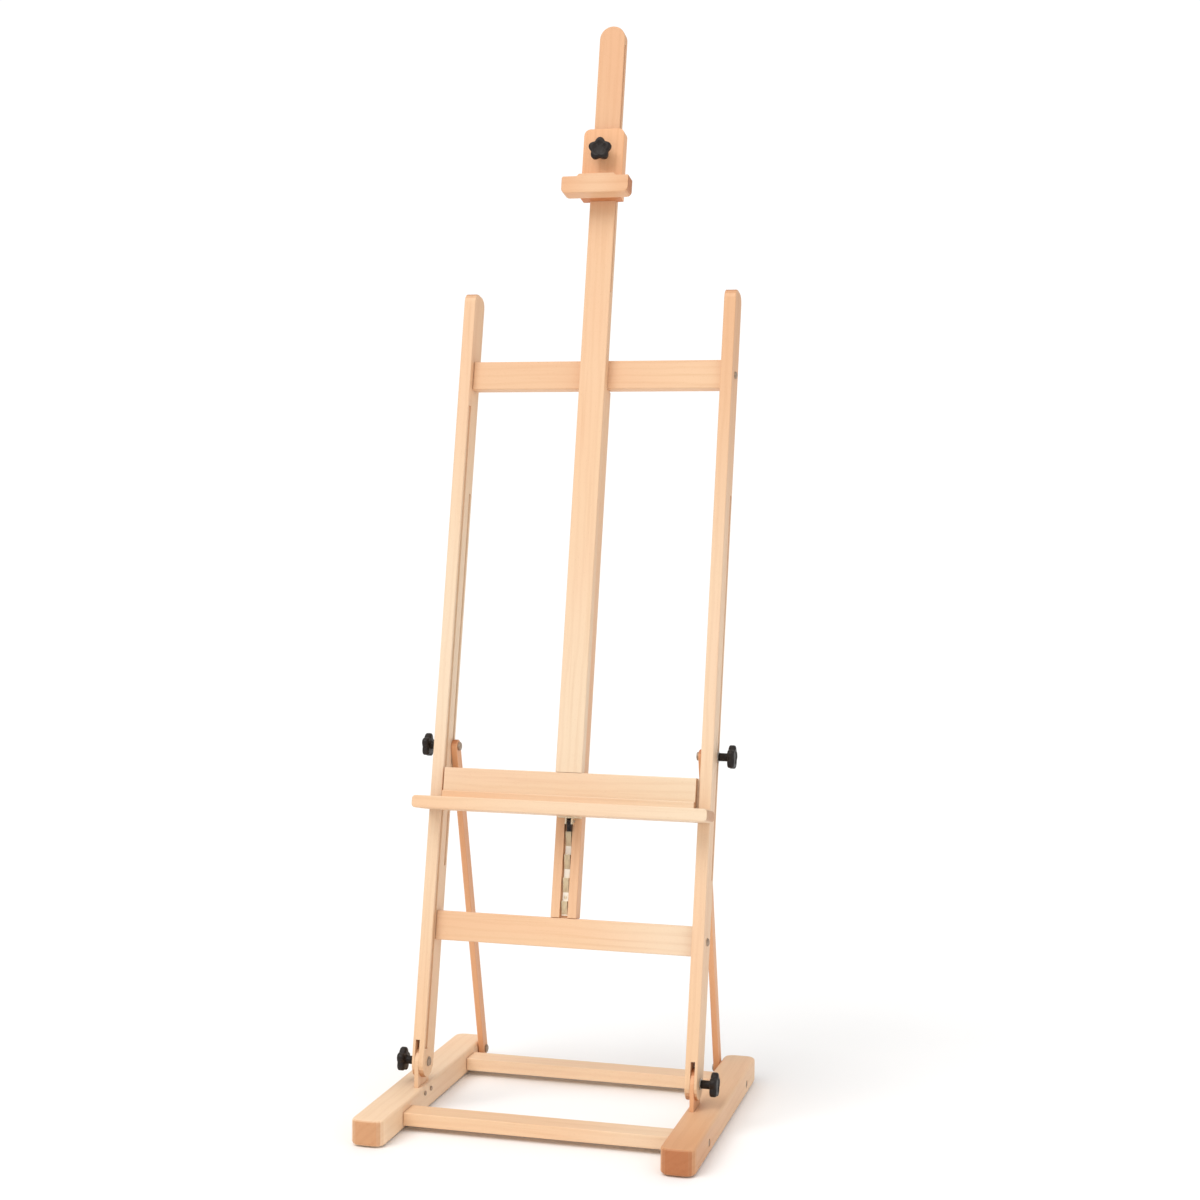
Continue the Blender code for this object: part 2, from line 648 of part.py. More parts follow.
def build_tray(carriage):
    outer = POST_INNER + GROOVE_DEPTH - TONGUE_CLEARANCE
    outline = rectangle((-outer, TRAY_S[0]), (outer, TRAY_S[1]))
    board = prism("tray_backboard", outline, "Y", TRAY_N, WOOD, carriage)
    ease_edges(board)
    for side, sign in SIDES:
        span = signed(sign, TRAY_HALF, outer + OVERSHOOT)
        low, high = TRAY_S[0] - OVERSHOOT, TRAY_S[1] + OVERSHOOT
        step = rectangle((TRAY_N[0] - OVERSHOOT, low), (TONGUE_N[0], high))
        recess(board, f"{side}_tray_shoulder", step, "X", span, carriage)
    half = MAST_WIDTH / 2 + GAP
    lap = rectangle((-half, MAST_LAP_S - GAP), (half, TRAY_S[1] + OVERSHOOT))
    recess(board, "mast_lap", lap, "Y", (MAST_LAP_N - GAP, TRAY_N[1] + OVERSHOOT), carriage)

    shelf = rectangle((-LEDGE_HALF, LEDGE_S[0]), (LEDGE_HALF, LEDGE_S[1]))
    corners = [(x, s, LEDGE_CORNER) for x, s in shelf]
    ledge = prism("tray_ledge", rounded(corners), "Y", (LEDGE_N, TRAY_N[0] - GAP), WOOD, carriage)
    ease_edges(ledge)

    outline = rectangle((-TRAY_HALF, LEDGE_S[1] + GAP), (TRAY_HALF, CLEAT_S))
    front = TRAY_N[0] - GAP
    cleat = prism("tray_cleat", outline, "Y", (front - CLEAT_DEPTH, front), WOOD, carriage)
    ease_edges(cleat, 0.0012)


def build_mast(carriage):
    half = MAST_WIDTH / 2
    outline = arc((0, MAST_TOP - half), half, 0, 180, 16)
    outline += [(-half, MAST_LAP_S), (half, MAST_LAP_S)]
    mast = ease_edges(prism("mast", outline, "Y", TRAY_N, WOOD, carriage))
    low = (-half - OVERSHOOT, MAST_LAP_S - OVERSHOOT)
    wide = rectangle(low, (half + OVERSHOOT, TRAY_S[1] + GAP))
    recess(mast, "mast_foot", wide, "Y", (TRAY_N[0] - OVERSHOOT, MAST_LAP_N), carriage)
    key = KEY_WIDTH / 2 + GAP
    keyway = rectangle((-key, MAST_KEYWAY[0]), (key, MAST_KEYWAY[1]))
    recess(mast, "mast_keyway", keyway, "Y", (MAST_KEYWAY_N, TRAY_N[1] + OVERSHOOT), carriage)
    low, high = MAST_SIDE_GROOVE
    for side, sign in SIDES:
        groove = rectangle((LIP_N[0] - GAP, low), (LIP_N[1] + GAP, high))
        span = signed(sign, LIP_X - GAP, half + OVERSHOOT)
        recess(mast, f"{side}_mast_groove", groove, "X", span, carriage)


# ---------------------------------------------------------------- ratchet pawl

def build_pawl(carriage):
    n, s = PAWL_PIVOT
    bottom = arc((0, 0), PAWL_REACH, *PAWL_TIP_ARC, 8)
    eye = arc((0, 0), PAWL_EYE, *PAWL_EYE_ARC, 8)
    pin = add_empty("pawl_hinge", carriage, (PAWL_X, n, s))
    half = PAWL_WIDTH / 2
    pawl = prism("pawl", bottom + [PAWL_SHOULDER] + eye, "X", (-half, half), BLACK_STEEL, pin)
    wide = (-BRACKET_HALF, BRACKET_HALF)
    bore(pawl, "pawl_eye", "X", (0, 0), PAWL_PIN_RADIUS + GAP, wide, pin)

    inside = half + PAWL_SIDE_GAP
    outside = inside + BRACKET_PLATE
    under = TRAY_S[0] - GAP - s
    plate = under - BRACKET_PLATE
    outline = [
        (-BRACKET_HALF, under), (-BRACKET_HALF, plate), (-outside, plate),
        (-outside, BRACKET_EAR_END), (-inside, BRACKET_EAR_END), (-inside, plate),
        (inside, plate), (inside, BRACKET_EAR_END), (outside, BRACKET_EAR_END),
        (outside, plate), (BRACKET_HALF, plate), (BRACKET_HALF, under),
    ]
    span = (BRACKET_N[0] - n, BRACKET_N[1] - n)
    bracket = prism("pawl_bracket", outline, "Y", span, BRASS, pin)
    bore(bracket, "pawl_bracket", "X", (0, 0), PAWL_PIN_RADIUS + GAP, wide, pin)

    seat = outside + GAP
    profile = bolt_profile(seat + HOLE_END, -seat, PAWL_PIN_RADIUS, PAWL_PIN_HEAD, SCREW_POINT)
    turned("pawl_pin", profile, "X", 1, STEEL, pin, (0, 0, 0))


# ---------------------------------------------------------------- top clamp

def build_clamp(carriage, knob_mesh):
    middle = (0, 0, (CLAMP_S[0] + CLAMP_S[1]) / 2)
    clamp = add_empty("clamp_slide", carriage, middle)
    half_height = (CLAMP_S[1] - CLAMP_S[0]) / 2
    half = CLAMP_WIDTH / 2
    inside = MAST_WIDTH / 2 + GAP
    seat = TRAY_N[0] - GAP
    face = rounded([
        (-half, -half_height, 0), (half, -half_height, 0),
        (half, half_height, CLAMP_CORNER), (-half, half_height, CLAMP_CORNER),
    ])
    block = prism("clamp_block", face, "Y", (CLAMP_FRONT_N, LIP_N[1]), WOOD, clamp)
    ease_edges(block, 0.0012)
    back = LIP_N[1] + OVERSHOOT
    channel = [
        (-LIP_X, back), (-LIP_X, LIP_N[0]), (-inside, LIP_N[0]), (-inside, seat),
        (inside, seat), (inside, LIP_N[0]), (LIP_X, LIP_N[0]), (LIP_X, back),
    ]
    ends = (-half_height - OVERSHOOT, half_height + OVERSHOOT)
    recess(block, "clamp_channel", channel, "Z", ends, clamp)
    knob_z = CLAMP_KNOB_S - middle[2]
    span = (CLAMP_FRONT_N - OVERSHOOT, 0)
    bore(block, "clamp_bolt", "Y", (0, knob_z), BOLT_RADIUS + GAP, span, clamp)

    low, high = CLAMP_BAR_S[0] - middle[2], CLAMP_BAR_S[1] - middle[2]
    left, right = CLAMP_BAR_X
    shoulder = half - 0.003
    outline = rounded([
        (left, low, 0.008), (right, low, 0.008), (right, high, 0.002),
        (shoulder, high, 0.0035), (shoulder - 0.003, high + CLAMP_BAR_RISE, 0.002),
        (-shoulder, high + CLAMP_BAR_RISE, 0.002), (-shoulder - 0.003, high, 0.0035),
        (left, high, 0.003),
    ], 4)
    depth = (CLAMP_BAR_N, CLAMP_FRONT_N - GAP)
    ease_edges(prism("clamp_bar", outline, "Y", depth, WOOD, clamp), 0.0012)

    knob_y = CLAMP_FRONT_N - GAP
    outer = -knob_y + KNOB_BORE - KNOB_BOLT_END
    profile = [(-seat + GAP, BOLT_RADIUS), (outer, BOLT_RADIUS)]
    turned("clamp_screw", profile, "Y", -1, STEEL, clamp, (0, 0, knob_z))
    add_knob("clamp_knob", knob_mesh, clamp, (0, knob_y, knob_z), (math.pi / 2, 0, -math.pi / 2))


# ---------------------------------------------------------------- assembly

RAIL_Z = RAIL_CLEARANCE + RAIL_HEIGHT / 2
RAIL_BOLTS = (("front", FRONT_RAIL_Y), ("rear", REAR_RAIL_Y))
TONGUE_BOTTOM = 0.014
TONGUE_SCREW_Z = 0.029
TONGUE_SCREWS = (("front", -0.014), ("rear", 0.014))
CROSSBARS = (("top", TOP_BAR_N, TOP_BAR_S), ("lower", LOWER_BAR_N, LOWER_BAR_S))
RACK_SCREWS = (
    ("lower", RACK_LEDGE_S + RACK_FLAT / 2),
    ("upper", RACK_LEDGE_S + 22 * RACK_PITCH + RACK_FLAT / 2),
)


def clear_scene():
    for obj in list(bpy.data.objects):
        bpy.data.objects.remove(obj, do_unlink=True)


def main():
    clear_scene()
    depth = PLANE_Y + MAST_TOP * math.sin(LEAN) + TRAY_N[1] * math.cos(LEAN)
    root = add_empty("easel", None, (0, -depth / 2, 0))
    base = add_empty("timber_base", root, (0, 0, PAD_HEIGHT))
    pivot = add_empty("frame_pivot", base, (0, PIVOT_Y, PIVOT_Z), -LEAN)
    frame = add_empty("frame_datum", pivot, (0, -PIVOT_N, -PIVOT_S))
    carriage = add_empty("carriage", frame)

    build_feet(base)
    build_pads(root)
    build_base_rails(base)
    build_tongues(base)
    build_strut_pins(base)

    knob_mesh = make_knob_mesh()
    build_posts(frame)
    build_crossbars(frame)
    build_centre_rail(frame)
    build_rack(frame)
    build_mast_key(frame)
    build_pivots(frame, knob_mesh)
    build_struts(base, frame, knob_mesh)
    build_tray(carriage)
    build_mast(carriage)
    build_pawl(carriage)
    build_clamp(carriage, knob_mesh)


main()
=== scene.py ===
"""Looks of the wooden studio easel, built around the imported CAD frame.

Metres, in the frame's own row coordinates: the painter stands at -Y and looks along +Y.
The leaning frame has its own directions: n is the depth behind the front plane of the
posts, and s is the distance up along the posts.
"""

import json
import math

import bmesh
import bpy
from mathutils import Matrix, Vector


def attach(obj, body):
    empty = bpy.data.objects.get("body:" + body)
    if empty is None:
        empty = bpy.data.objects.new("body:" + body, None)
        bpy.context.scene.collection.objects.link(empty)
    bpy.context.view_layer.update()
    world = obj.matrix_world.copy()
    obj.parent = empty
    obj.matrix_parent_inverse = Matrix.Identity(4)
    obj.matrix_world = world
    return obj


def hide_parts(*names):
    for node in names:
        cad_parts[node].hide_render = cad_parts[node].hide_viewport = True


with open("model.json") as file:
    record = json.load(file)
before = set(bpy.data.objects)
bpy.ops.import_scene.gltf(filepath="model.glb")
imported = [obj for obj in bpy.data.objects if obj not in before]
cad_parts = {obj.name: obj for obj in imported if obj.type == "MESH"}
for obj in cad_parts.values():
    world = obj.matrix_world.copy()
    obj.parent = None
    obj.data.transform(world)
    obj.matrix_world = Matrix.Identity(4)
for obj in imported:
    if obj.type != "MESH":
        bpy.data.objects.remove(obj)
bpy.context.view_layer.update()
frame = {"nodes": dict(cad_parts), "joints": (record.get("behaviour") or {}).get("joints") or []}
nodes = frame["nodes"]

# Design values, as in the CAD source
LEAN = math.radians(11.3)
POST_OUTER = 0.235
PIVOT_N, PIVOT_S = 0.0255, 0.084
STUD_N, STUD_S = 0.040, 0.598
CLAMP_FACE_N, CLAMP_KNOB_S = -0.0223, 1.599
TOOTH_DEPTH = 0.0065
KNOB_BASE_X = POST_OUTER + 0.0021
KNOB_RADIUS = 0.020
KNOB_NECK = 0.0155
KNOB_DISC = 0.0115
KNOB_LOBES = 5
LOBE_DEPTH = 0.235
LOBE_SHARPNESS = 0.75
SIDES = (("left", -1), ("right", 1))

ALONG_X = Vector((1, 0, 0))
ALONG_Y = Vector((0, 1, 0))
ALONG_S = Vector((0, math.sin(LEAN), math.cos(LEAN)))
ALONG_N = Vector((0, math.cos(LEAN), -math.sin(LEAN)))


def joint_place(name):
    """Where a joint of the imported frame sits, in row coordinates."""
    return Vector(next(joint["pos_m"] for joint in frame["joints"] if joint["name"] == name))


def leaning(x, n, s):
    """A point of the leaning frame in row coordinates, measured from the frame's pivot."""
    pivot = joint_place("frame_tilt")
    return pivot + ALONG_X * (x - pivot.x) + ALONG_S * (s - PIVOT_S) + ALONG_N * (n - PIVOT_N)


# ---------------------------------------------------------------- node helpers

class Shader:
    """A material's node tree, with short calls for the nodes used here."""

    def __init__(self, name):
        self.material = bpy.data.materials.new(name)
        self.material.use_nodes = True
        self.tree = self.material.node_tree
        self.surface = self.tree.nodes["Principled BSDF"]
        self.object_space = self.node("ShaderNodeTexCoord").outputs["Object"]

    def node(self, kind, **inputs):
        """A new node; each input is a number, a vector or another node's output."""
        made = self.tree.nodes.new(kind)
        for name, value in inputs.items():
            self.feed(made.inputs[name.replace("_", " ")], value)
        return made

    def feed(self, socket, value):
        if isinstance(value, bpy.types.NodeSocket):
            self.tree.links.new(value, socket)
        else:
            socket.default_value = value

    def math(self, operation, a, b=0.0):
        made = self.node("ShaderNodeMath")
        made.operation = operation
        self.feed(made.inputs[0], a)
        self.feed(made.inputs[1], b)
        return made.outputs[0]

    def vector(self, operation, a, b):
        made = self.node("ShaderNodeVectorMath")
        made.operation = operation
        self.feed(made.inputs[0], a)
        self.feed(made.inputs[1], b)
        return made.outputs["Value" if operation == "DOT_PRODUCT" else "Vector"]

    def stretch(self, value, low, high, to_low=0.0, to_high=1.0):
        """Value smoothly mapped from low..high onto to_low..to_high, and clamped there."""
        made = self.node("ShaderNodeMapRange")
        made.interpolation_type = "SMOOTHSTEP"
        for socket, number in zip(made.inputs[:5], (value, low, high, to_low, to_high)):
            self.feed(socket, number)
        return made.outputs["Result"]

    def noise(self, space, scale, detail=2.0, rough=0.5):
        """Noise with its own scale along each axis of space."""
        scaled = self.vector("MULTIPLY", space, scale)
        made = self.node("ShaderNodeTexNoise", Vector=scaled, Scale=1.0, Detail=detail)
        made.inputs["Roughness"].default_value = rough
        return made.outputs["Fac"]

    def mix(self, amount, first, second, blend="MIX"):
        made = self.node("ShaderNodeMix")
        made.data_type = "RGBA"
        made.blend_type = blend
        self.feed(made.inputs["Factor"], amount)
        self.feed(made.inputs[6], first)
        self.feed(made.inputs[7], second)
        return made.outputs[2]

    def edges(self, radius, low, high):
        """1 along the piece's convex and concave edges, fading to 0 over about radius."""
        rounded = self.node("ShaderNodeBevel", Radius=radius)
        rounded.samples = 4
        flat = self.node("ShaderNodeNewGeometry").outputs["Normal"]
        turn = self.vector("DOT_PRODUCT", rounded.outputs["Normal"], flat)
        return self.stretch(self.math("SUBTRACT", 1.0, turn), low, high)

    def bump(self, height, strength, distance, before=None):
        made = self.node("ShaderNodeBump", Height=height, Strength=strength, Distance=distance)
        if before is not None:
            self.feed(made.inputs["Normal"], before)
        return made.outputs["Normal"]

    def finish(self, colour, rough, normal, **uniform):
        """Join the textures to the surface and set its uniform values."""
        self.feed(self.surface.inputs["Base Color"], colour)
        self.feed(self.surface.inputs["Roughness"], rough)
        self.feed(self.surface.inputs["Normal"], normal)
        for name, value in uniform.items():
            self.surface.inputs[name.replace("_", " ")].default_value = value
        return self.material


def rgb(red, green, blue):
    return (red, green, blue, 1.0)


# ---------------------------------------------------------------- beech

CREAM = (0.82, 0.64, 0.455)
PALE = (0.82, 0.60, 0.405)
PEACH = (0.81, 0.54, 0.33)
HONEY = (0.78, 0.49, 0.29)
AMBER = (0.745, 0.425, 0.23)
TAN = (0.78, 0.413, 0.213)
BROWN = (0.66, 0.34, 0.165)
BLOND = (0.86, 0.595, 0.38)
BRIGHT = (0.90, 0.65, 0.43)
ROSY = (0.84, 0.46, 0.24)
STREAK_SHADE = rgb(0.90, 0.83, 0.76)
FLECK_SHADE = rgb(0.78, 0.64, 0.52)
END_SHADE = rgb(0.68, 0.48, 0.35)
WORN_SHADE = rgb(1.06, 1.07, 1.08)
PATCH_SHADE = rgb(1.0, 0.965, 0.965)
RING_SCALE = 26.0
RING_WANDER = 9.0
WOOD_EDGE = 0.0022
BOARD_SHIFT = (0.37, 0.53, 0.71)


def beech(name, along, span, tones, seed):
    """Planed beech with its grain along a direction; its colour passes through three tones along the
    board, which hold painted light and shade as well as the wood's own colour.
    """
    wood = Shader(name)
    turn = along.rotation_difference(ALONG_X).to_euler()
    turned = wood.node("ShaderNodeMapping", Vector=wood.object_space, Rotation=turn).outputs[0]
    length = wood.node("ShaderNodeSeparateXYZ", Vector=turned).outputs["X"]
    place = wood.vector("ADD", turned, tuple(step * seed for step in BOARD_SHIFT))

    low, high = span
    half_way = (low + high) / 2
    # The tones along the board carry painted shade and painted highlights besides the wood's own colour.
    first, middle, last = (rgb(*tone) for tone in tones)
    colour = wood.mix(wood.stretch(length, low, half_way), first, middle)
    colour = wood.mix(wood.stretch(length, half_way, high), colour, last)
    patches = wood.noise(place, (3.0, 14.0, 14.0), 2.0)
    colour = wood.mix(wood.stretch(patches, 0.40, 0.68), colour, PATCH_SHADE, "MULTIPLY")

    wander = wood.noise(place, (2.2, 9.0, 9.0), 1.0)
    across = wood.vector("MULTIPLY", place, (0.35, 1.0, 1.0))
    radius = wood.vector("ADD", across, (0.0, 0.11, 0.06))
    rings = wood.node("ShaderNodeTexWave", Vector=radius, Scale=RING_SCALE, Distortion=2.6, Detail=2.0)
    rings.wave_type = "RINGS"
    rings.rings_direction = "X"
    wood.feed(rings.inputs["Phase Offset"], wood.math("MULTIPLY", wander, RING_WANDER))
    growth = wood.stretch(rings.outputs["Fac"], 0.55, 1.0)
    streaks = wood.noise(place, (5.0, 210.0, 210.0), 3.0, 0.6)
    lines = wood.math("MULTIPLY", growth, 0.26)
    lines = wood.math("ADD", lines, wood.stretch(streaks, 0.50, 0.75, 0.0, 0.45))
    colour = wood.mix(lines, colour, wood.mix(1.0, colour, STREAK_SHADE, "MULTIPLY"))

    flecks = wood.noise(place, (240.0, 2300.0, 2300.0), 1.0)
    flecks = wood.stretch(flecks, 0.66, 0.76, 0.0, 0.55)
    colour = wood.mix(flecks, colour, wood.mix(1.0, colour, FLECK_SHADE, "MULTIPLY"))

    facing = wood.node("ShaderNodeTexCoord").outputs["Normal"]
    ends = wood.vector("DOT_PRODUCT", facing, along)
    ends = wood.stretch(wood.math("ABSOLUTE", ends), 0.30, 0.98)
    colour = wood.mix(ends, colour, wood.mix(1.0, colour, END_SHADE, "MULTIPLY"))

    scuffs = wood.noise(place, (60.0, 60.0, 60.0), 2.0)
    wear = wood.edges(WOOD_EDGE, 0.02, 0.22)
    wear = wood.math("MULTIPLY", wear, wood.stretch(scuffs, 0.40, 0.62))
    colour = wood.mix(wear, colour, wood.mix(1.0, colour, WORN_SHADE, "MULTIPLY"))

    rough = wood.stretch(patches, 0.2, 0.8, 0.44, 0.56)
    rough = wood.math("ADD", rough, wood.math("MULTIPLY", flecks, 0.12))
    rough = wood.math("SUBTRACT", rough, wood.math("MULTIPLY", wear, 0.10))
    fibres = wood.noise(place, (45.0, 1500.0, 1500.0), 2.0, 0.6)
    normal = wood.bump(fibres, 0.10, 0.0004)
    normal = wood.bump(flecks, 0.25, -0.0002, normal)
    return wood.finish(colour, rough, normal, IOR=1.48)


def span_along(obj, along):
    """The lowest and highest reach of an object along a direction."""
    reach = [along.dot(vertex.co) for vertex in obj.data.vertices]
    return min(reach), max(reach)


def dress(obj, material):
    obj.data.materials.clear()
    obj.data.materials.append(material)


foot_pin = joint_place("left_strut_fold")
along_strut = (leaning(foot_pin.x, STUD_N, STUD_S) - foot_pin).normalized()

# Name, grain direction, and the tones at the low end, the middle and the high end; besides the wood's own
# colour, the tones hold painted light and shade.
BOARDS = (
    ("left_foot", ALONG_Y, (BRIGHT, PALE, BRIGHT)),
    # Painted shade: the right foot is darker at its front end.
    ("right_foot", ALONG_Y, (BROWN, HONEY, BLOND)),
    ("front_base_rail", ALONG_X, (PEACH, PEACH, PALE)),
    ("rear_base_rail", ALONG_X, (BRIGHT, BRIGHT, BRIGHT)),
    ("left_tongue", ALONG_S, (PEACH, PEACH, PEACH)),
    # Painted shade: the right tongue is darker, darkest at its low end.
    ("right_tongue", ALONG_S, (BROWN, TAN, TAN)),
    # Painted highlight: the left post is paler in its middle.
    ("left_post", ALONG_S, (PEACH, CREAM, PEACH)),
    ("right_post", ALONG_S, (PEACH, PALE, AMBER)),
    ("top_crossbar", ALONG_X, (HONEY, HONEY, PEACH)),
    ("lower_crossbar", ALONG_X, (HONEY, PEACH, CREAM)),
    ("centre_rail", ALONG_S, (HONEY, HONEY, PEACH)),
    ("mast_guide_key", ALONG_S, (PEACH, PEACH, PEACH)),
    ("tray_backboard", ALONG_X, (PALE, PALE, CREAM)),
    ("tray_ledge", ALONG_X, (PEACH, PALE, CREAM)),
    ("tray_cleat", ALONG_X, (PEACH, PALE, CREAM)),
    # Painted shade: the mast darkens towards its top.
    ("mast", ALONG_S, (CREAM, PEACH, AMBER)),
    ("clamp_block", ALONG_S, (ROSY, ROSY, ROSY)),
    ("clamp_bar", ALONG_X, (AMBER, HONEY, AMBER)),
    ("left_strut", along_strut, (TAN, TAN, TAN)),
    ("right_strut", along_strut, (TAN, TAN, TAN)),
)
for seed, (name, along, tones) in enumerate(BOARDS, 1):
    board = nodes[name]
    dress(board, beech(f"beech_{name}", along, span_along(board, along), tones, seed))


# ---------------------------------------------------------------- metals, plastic and rubber

METAL_EDGE = 0.0008
RACK_EDGE = 0.0007
PLASTIC_EDGE = 0.0012
STEEL_EDGE = 0.0007
RUBBER_EDGE = 0.0008


def plated(name, base, tarnish, rough, metallic, seed, brushed=(900.0, 60.0, 60.0)):
    """Plated metal: cloudy colour, drawn scratches, brighter rubbed edges."""
    metal = Shader(name)
    place = metal.vector("ADD", metal.object_space, (0.31 * seed, 0.17 * seed, 0.23 * seed))
    clouds = metal.noise(place, (160.0, 160.0, 160.0), 3.0, 0.6)
    colour = metal.mix(metal.stretch(clouds, 0.40, 0.72, 0.0, 0.7), rgb(*base), rgb(*tarnish))
    scratches = metal.noise(place, brushed, 3.0, 0.6)
    wear = metal.edges(METAL_EDGE, 0.02, 0.25)
    colour = metal.mix(metal.math("MULTIPLY", wear, 0.5), colour, rgb(0.92, 0.90, 0.86))
    gloss = metal.stretch(clouds, 0.3, 0.7, rough, rough + 0.16)
    gloss = metal.math("ADD", gloss, metal.math("MULTIPLY", scratches, 0.10))
    normal = metal.bump(scratches, 0.10, 0.0001)
    return metal.finish(colour, gloss, normal, Metallic=metallic)


def rack_wear_and_painted_light(name, rack):
    """Yellow plate: the ledges and the flats above them are pale, partly wear where the pawl rests and
    partly painted highlight where light falls; the ramps between are darker, a painted shade.
    """
    metal = Shader(name)
    flat = span_along(rack, ALONG_N)[0] + TOOTH_DEPTH
    depth = metal.vector("DOT_PRODUCT", metal.object_space, ALONG_N)
    facing = metal.node("ShaderNodeTexCoord").outputs["Normal"]
    # Painted highlight as well as wear: the flats at the tooth tips and the upward-facing ledges are made
    # pale.
    flats = metal.stretch(depth, flat - 0.0008, flat - 0.0002)
    ledges = metal.stretch(metal.vector("DOT_PRODUCT", facing, ALONG_S), 0.4, 0.7)
    wear_and_highlight = metal.math("MAXIMUM", flats, ledges)
    clouds = metal.noise(metal.object_space, (260.0, 120.0, 120.0), 2.0)
    # Painted shade: the ramps' plate colour is darker than on the other yellow-plated parts.
    dull = metal.mix(metal.stretch(clouds, 0.35, 0.7), rgb(0.66, 0.53, 0.34), rgb(0.54, 0.42, 0.26))
    scratches = metal.noise(metal.object_space, (1200.0, 90.0, 90.0), 3.0, 0.6)
    lines = metal.math("MULTIPLY", scratches, 0.3)
    bright = metal.mix(lines, rgb(1.0, 0.96, 0.86), rgb(0.88, 0.80, 0.64))
    colour = metal.mix(wear_and_highlight, dull, bright)
    wear = metal.edges(RACK_EDGE, 0.02, 0.25)
    colour = metal.mix(metal.math("MULTIPLY", wear, 0.5), colour, rgb(0.98, 0.94, 0.84))
    gloss = metal.stretch(wear_and_highlight, 0.0, 1.0, 0.44, 0.32)
    gloss = metal.math("ADD", gloss, metal.math("MULTIPLY", scratches, 0.08))
    return metal.finish(colour, gloss, metal.bump(scratches, 0.08, 0.0001), Metallic=0.2)


def moulded_plastic():
    """Dark moulding with a fine grain, rubbed paler along its edges."""
    plastic = Shader("moulded_plastic")
    grain = plastic.noise(plastic.object_space, (1900.0, 1900.0, 1900.0), 2.0)
    clouds = plastic.noise(plastic.object_space, (120.0, 120.0, 120.0), 2.0)
    clouds = plastic.stretch(clouds, 0.35, 0.7)
    colour = plastic.mix(clouds, rgb(0.014, 0.010, 0.009), rgb(0.024, 0.018, 0.015))
    wear = plastic.edges(PLASTIC_EDGE, 0.03, 0.30)
    colour = plastic.mix(plastic.math("MULTIPLY", wear, 0.6), colour, rgb(0.070, 0.054, 0.045))
    rough = plastic.stretch(clouds, 0.0, 1.0, 0.42, 0.54)
    normal = plastic.bump(grain, 0.16, 0.0001)
    return plastic.finish(colour, rough, normal, Specular_IOR_Level=0.25)


def black_oxide():
    """Blackened steel, worn to bare metal along its edges."""
    steel = Shader("black_oxide_steel")
    clouds = steel.noise(steel.object_space, (240.0, 240.0, 240.0), 3.0)
    colour = steel.mix(steel.stretch(clouds, 0.4, 0.7), rgb(0.030, 0.028, 0.030), rgb(0.07, 0.06, 0.06))
    wear = steel.edges(STEEL_EDGE, 0.03, 0.3)
    colour = steel.mix(steel.math("MULTIPLY", wear, 0.7), colour, rgb(0.30, 0.27, 0.25))
    rough = steel.stretch(clouds, 0.3, 0.7, 0.32, 0.50)
    return steel.finish(colour, rough, steel.bump(clouds, 0.10, 0.0002), Metallic=0.8)


def pad_rubber():
    """Grainy matt rubber, greyed along its edges."""
    rubber = Shader("pad_rubber")
    grain = rubber.noise(rubber.object_space, (900.0, 900.0, 900.0), 3.0)
    colour = rubber.mix(rubber.stretch(grain, 0.4, 0.7), rgb(0.020, 0.019, 0.018), rgb(0.05, 0.047, 0.044))
    worn = rubber.edges(RUBBER_EDGE, 0.03, 0.3)
    colour = rubber.mix(rubber.math("MULTIPLY", worn, 0.4), colour, rgb(0.10, 0.095, 0.09))
    rough = rubber.stretch(grain, 0.3, 0.7, 0.72, 0.86)
    return rubber.finish(colour, rough, rubber.bump(grain, 0.3, 0.0003))


PLASTIC = moulded_plastic()
ZINC = plated("zinc_plate", (0.52, 0.50, 0.47), (0.38, 0.35, 0.31), 0.30, 1.0, 1)
DULL_ZINC = plated("dull_zinc", (0.44, 0.34, 0.26), (0.30, 0.22, 0.16), 0.42, 1.0, 3)
YELLOW_PLATE = plated("yellow_plate", (0.86, 0.76, 0.58), (0.70, 0.56, 0.37), 0.34, 0.55, 2)
BLACK = black_oxide()
RUBBER = pad_rubber()

for side, sign in SIDES:
    for place in ("front", "rear"):
        dress(nodes[f"{side}_{place}_pad"], RUBBER)
        dress(nodes[f"{side}_{place}_tongue_screw"], DULL_ZINC)
        dress(nodes[f"{side}_{place}_base_bolt"], DULL_ZINC)
    for name in ("strut_pin", "pivot_bolt", "strut_nut", "top_crossbar_bolt", "lower_crossbar_bolt"):
        dress(nodes[f"{side}_{name}"], DULL_ZINC)
    for name in ("pivot_washer", "strut_stud", "strut_washer"):
        dress(nodes[f"{side}_{name}"], ZINC)
for name in ("clamp_screw", "pawl_pin"):
    dress(nodes[name], ZINC)
for name in ("pawl_bracket", "lower_rack_screw", "upper_rack_screw"):
    dress(nodes[name], YELLOW_PLATE)
dress(nodes["ratchet_rack"], rack_wear_and_painted_light("rack_wear_and_painted_light", nodes["ratchet_rack"]))
dress(nodes["pawl"], BLACK)


# ---------------------------------------------------------------- star knobs

KNOB_STEPS = KNOB_LOBES * 24
KNOB_TOP = KNOB_NECK + KNOB_DISC
KNOB_CREASE = math.radians(50)
